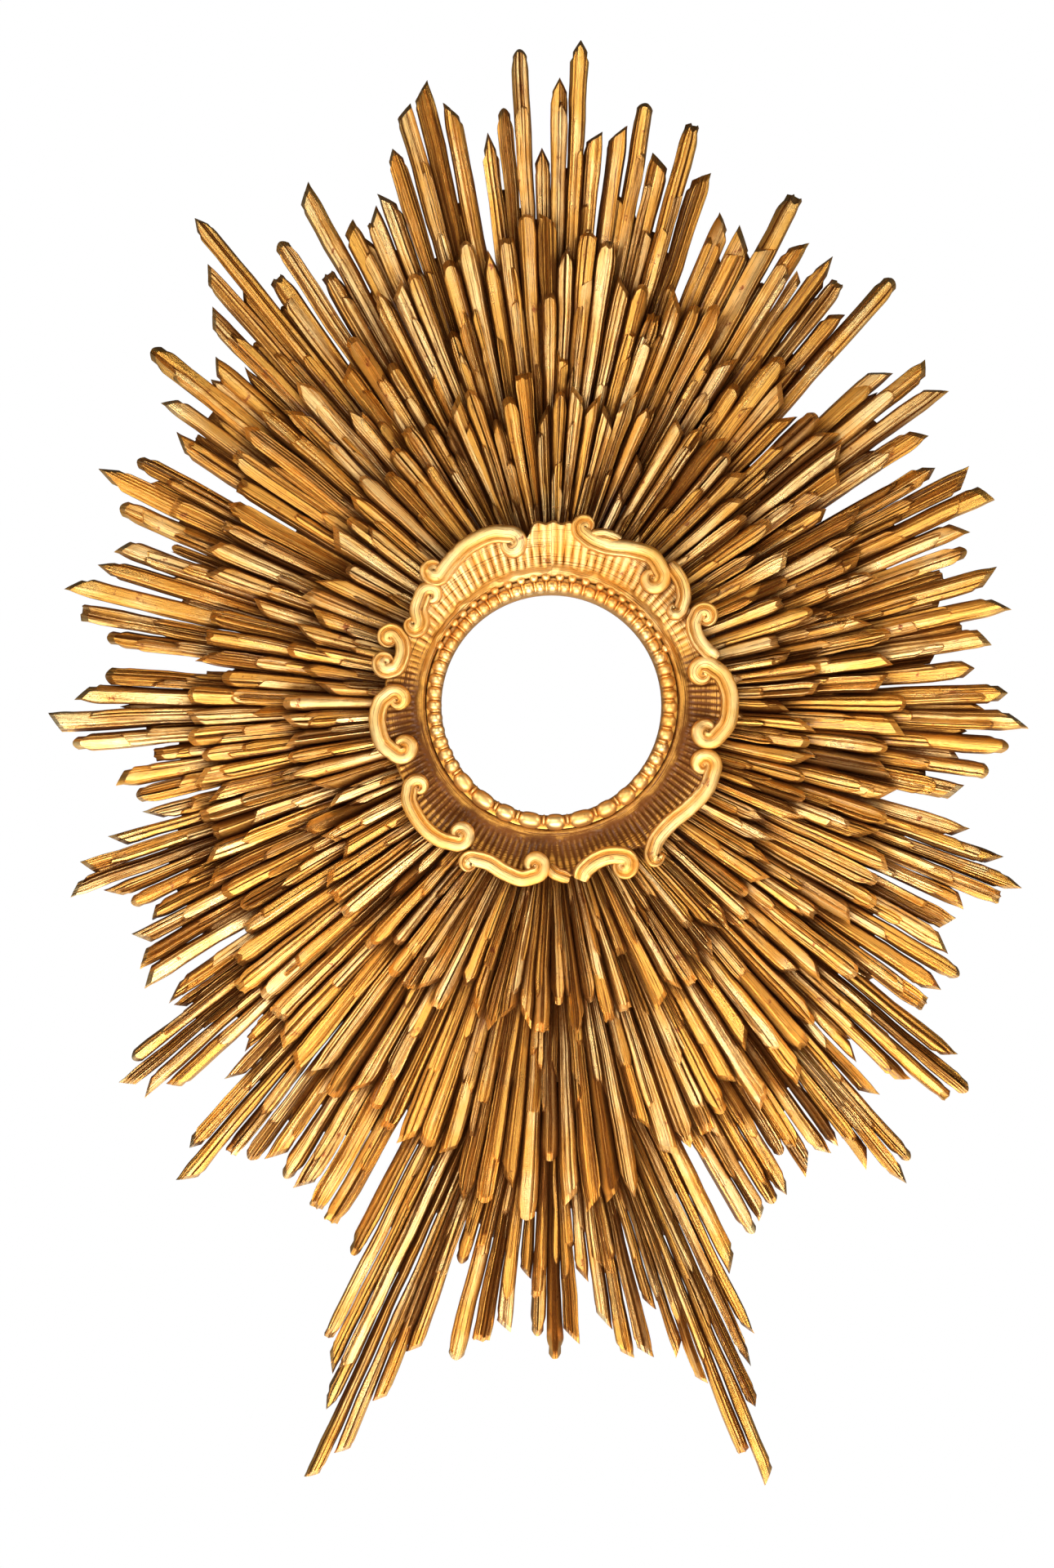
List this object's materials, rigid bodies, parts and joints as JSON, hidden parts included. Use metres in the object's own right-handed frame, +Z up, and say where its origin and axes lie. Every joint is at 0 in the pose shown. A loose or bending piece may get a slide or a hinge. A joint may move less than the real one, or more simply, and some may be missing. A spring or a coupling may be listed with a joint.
{
  "type": "carved giltwood glory",
  "caption": "Carved giltwood sunburst of stepped rays in three tiers round an open circular aperture with a rocaille frame, for hanging on a wall or altarpiece.",
  "frame": {"origin": "centre of the round aperture and of the insert rebate, at half the rebate's depth, 18 mm in front of the wall", "axes": "+Z up, +X to the right as seen from the front, -Y towards the viewer"},
  "size_m": [0.7466, 0.128, 1.0971],
  "materials": {
    "gilt_wood": "water-gilded and burnished, worn to a dark toned size in the hollows",
    "carcass_wood": "aged bare softwood",
    "dowel_wood": "bare hardwood",
    "wrought_iron": "blackened and lightly rusted",
    "screw_steel": "dull, aged"
  },
  "bodies": {
    "glory": {"back_ray_board_01": "gilt_wood", "back_ray_board_02": "gilt_wood", "back_ray_board_03": "gilt_wood", "back_ray_board_04": "gilt_wood", "back_ray_board_05": "gilt_wood", "back_ray_board_06": "gilt_wood", "back_ray_board_07": "gilt_wood", "back_ray_board_08": "gilt_wood", "back_ray_board_09": "gilt_wood", "back_ray_board_10": "gilt_wood", "back_ray_board_11": "gilt_wood", "back_ray_board_12": "gilt_wood", "back_ray_board_13": "gilt_wood", "back_ray_board_14": "gilt_wood", "back_ray_board_15": "gilt_wood", "back_ray_board_16": "gilt_wood", "back_ray_board_17": "gilt_wood", "back_ray_board_18": "gilt_wood", "back_ray_board_19": "gilt_wood", "middle_ray_board_01": "gilt_wood", "middle_ray_board_02": "gilt_wood", "middle_ray_board_03": "gilt_wood", "middle_ray_board_04": "gilt_wood", "middle_ray_board_05": "gilt_wood", "middle_ray_board_06": "gilt_wood", "middle_ray_board_07": "gilt_wood", "middle_ray_board_08": "gilt_wood", "middle_ray_board_09": "gilt_wood", "middle_ray_board_10": "gilt_wood", "middle_ray_board_11": "gilt_wood", "middle_ray_board_12": "gilt_wood", "front_ray_board_01": "gilt_wood", "front_ray_board_02": "gilt_wood", "front_ray_board_03": "gilt_wood", "front_ray_board_04": "gilt_wood", "front_ray_board_05": "gilt_wood", "front_ray_board_06": "gilt_wood", "front_ray_board_07": "gilt_wood", "front_ray_board_08": "gilt_wood", "front_ray_board_09": "gilt_wood", "front_ray_board_10": "gilt_wood", "front_ray_board_11": "gilt_wood", "core_ring": "carcass_wood", "lower_backboard": "carcass_wood", "tail_spacer": "carcass_wood", "upper_batten": "carcass_wood", "lower_battens": "carcass_wood", "batten_screws": "screw_steel", "board_screws": "screw_steel", "frame_dowels": "dowel_wood", "rocaille_frame": "gilt_wood", "beaded_ring": "gilt_wood", "turn_button_screws": "screw_steel", "hanger_straps": "wrought_iron", "hanger_screws": "screw_steel"},
    "turn_button_1_body": {"turn_button_1": "wrought_iron"},
    "turn_button_2_body": {"turn_button_2": "wrought_iron"},
    "turn_button_3_body": {"turn_button_3": "wrought_iron"},
    "hanging_ring_left_body": {"hanging_ring_left": "wrought_iron"},
    "hanging_ring_right_body": {"hanging_ring_right": "wrought_iron"}
  },
  "joints": [
    {"name": "turn_button_1_turn", "type": "hinge", "parent": "glory", "child": "turn_button_1_body", "pos_m": [0.09007, 0.0055, 0.052], "axis": [0, 1, 0], "range_deg": [0, 90]},
    {"name": "turn_button_2_turn", "type": "hinge", "parent": "glory", "child": "turn_button_2_body", "pos_m": [0, 0.0055, -0.104], "axis": [0, 1, 0], "range_deg": [0, 90]},
    {"name": "turn_button_3_turn", "type": "hinge", "parent": "glory", "child": "turn_button_3_body", "pos_m": [-0.09007, 0.0055, 0.052], "axis": [0, 1, 0], "range_deg": [0, 90]},
    {"name": "hanging_ring_left_fold", "type": "hinge", "parent": "glory", "child": "hanging_ring_left_body", "pos_m": [-0.11, 0.0148, 0.152], "axis": [1, 0, 0], "range_deg": [0, 180]},
    {"name": "hanging_ring_right_fold", "type": "hinge", "parent": "glory", "child": "hanging_ring_right_body", "pos_m": [0.11, 0.0148, 0.152], "axis": [1, 0, 0], "range_deg": [0, 180]}
  ]
}
